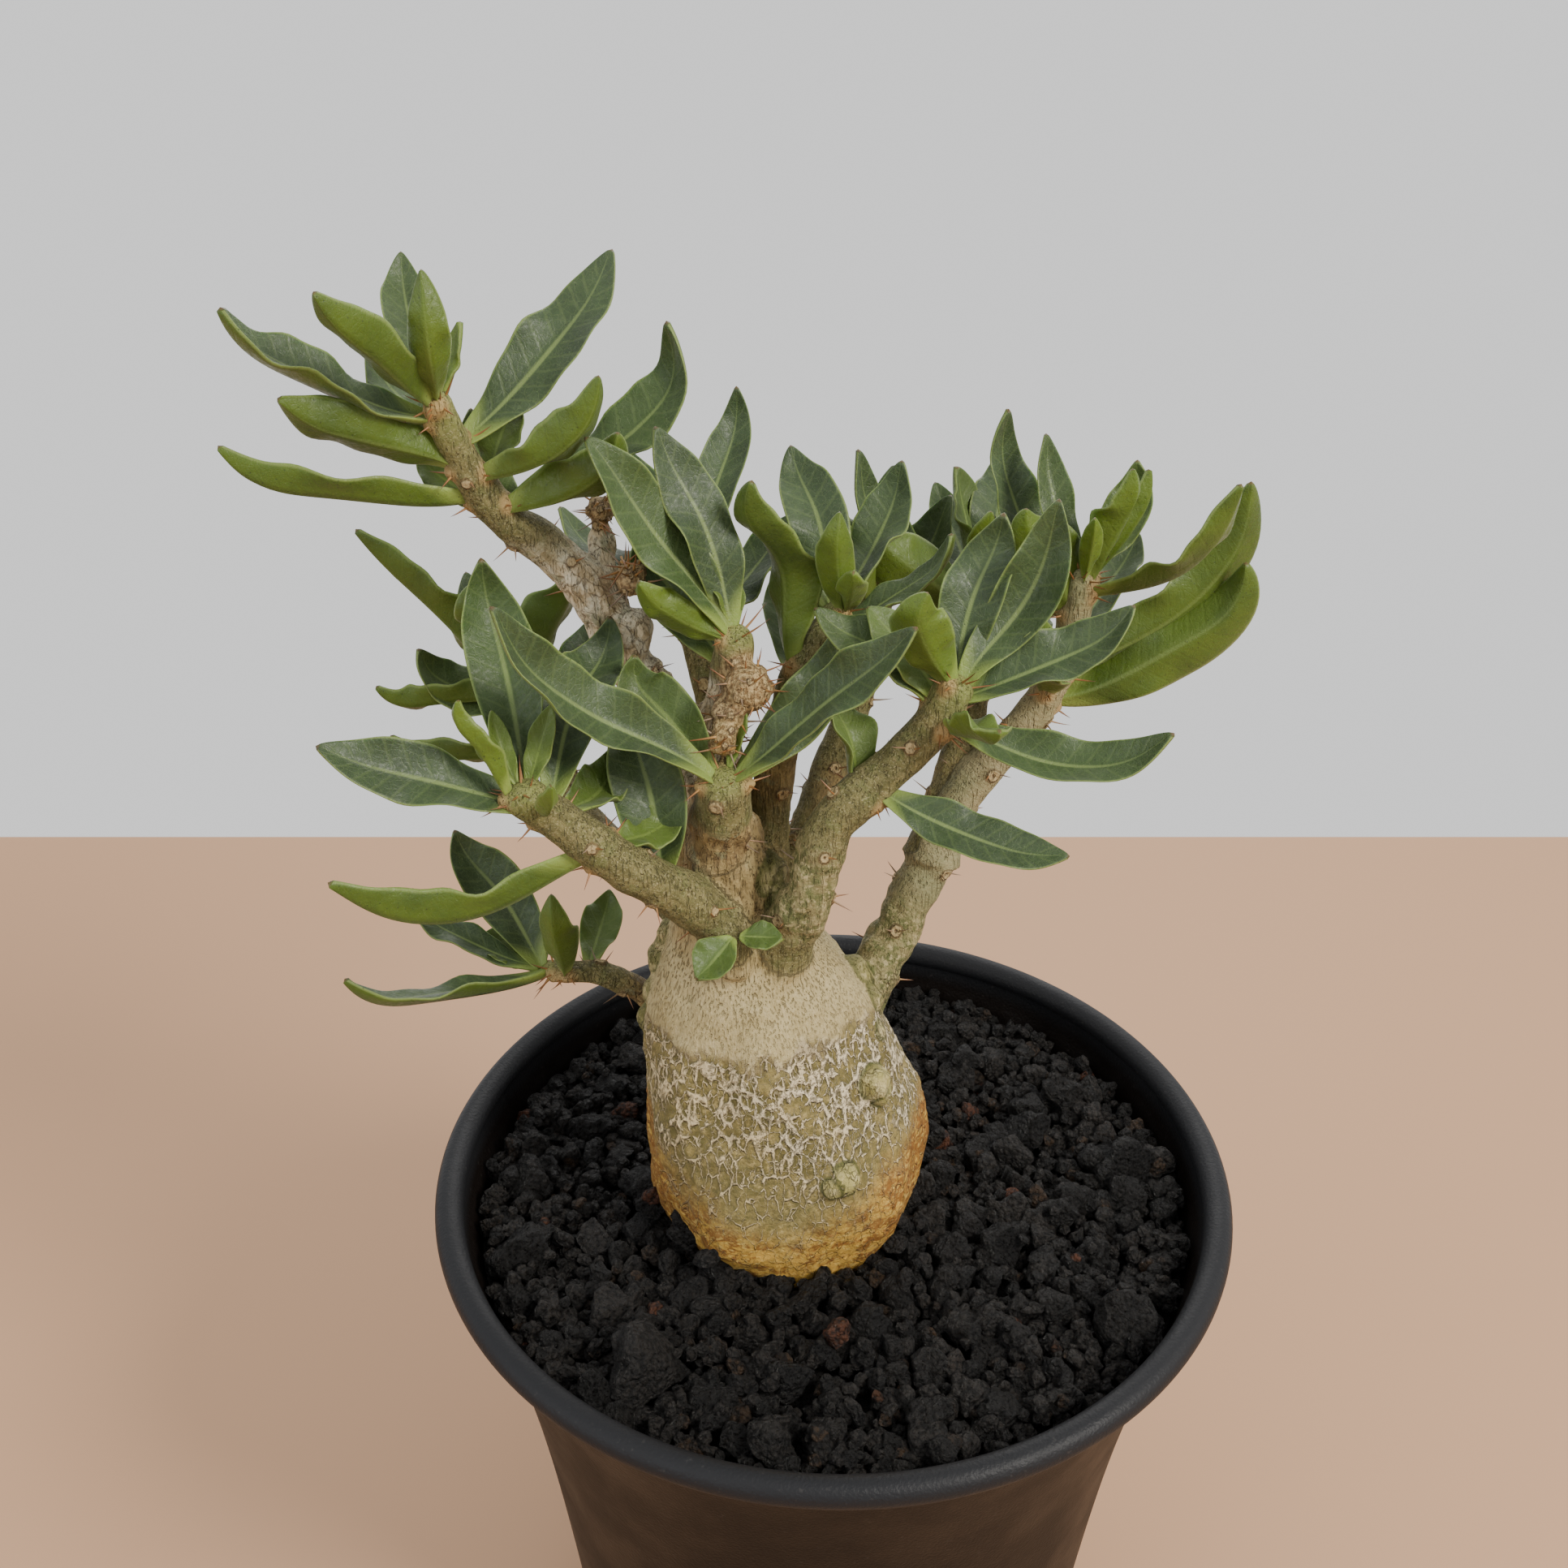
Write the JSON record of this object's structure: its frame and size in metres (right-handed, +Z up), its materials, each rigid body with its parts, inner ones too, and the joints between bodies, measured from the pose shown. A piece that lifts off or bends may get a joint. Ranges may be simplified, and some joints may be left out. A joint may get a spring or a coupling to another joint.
{
  "type": "potted pachypodium",
  "caption": "Squat grey caudex that branches into spiny stems with blue-green leaves, in a round black nursery pot of lava gravel.",
  "frame": {"origin": "middle of the flat boss under the pot, at the level that the pot stands on", "axes": "+Z up; +Y away from the viewer of the plant's front; +X to the viewer's right"},
  "size_m": [0.1342, 0.1198, 0.2393],
  "materials": {
    "pot": "satin black",
    "gravel": "matt, rough black lava",
    "bark": "matt, fissured grey-tan bark",
    "leaf": "satin blue-green leaf on spiny grey-green stem",
    "young_leaf": "satin yellow-green leaf"
  },
  "bodies": {
    "root": {"pot": "pot", "gravel": "gravel", "caudex": "bark", "stem_front": "leaf", "stem_top": "leaf", "stem_front_left": "leaf", "stem_tall_left": "leaf", "stem_low_left": "leaf", "stem_front_right": "leaf", "stem_right": "leaf", "stem_back_left": "leaf", "stem_centre": "leaf", "stem_back": "leaf", "stem_back_right": "leaf", "stem_back_centre": "leaf", "sprout": "young_leaf"}
  },
  "joints": []
}
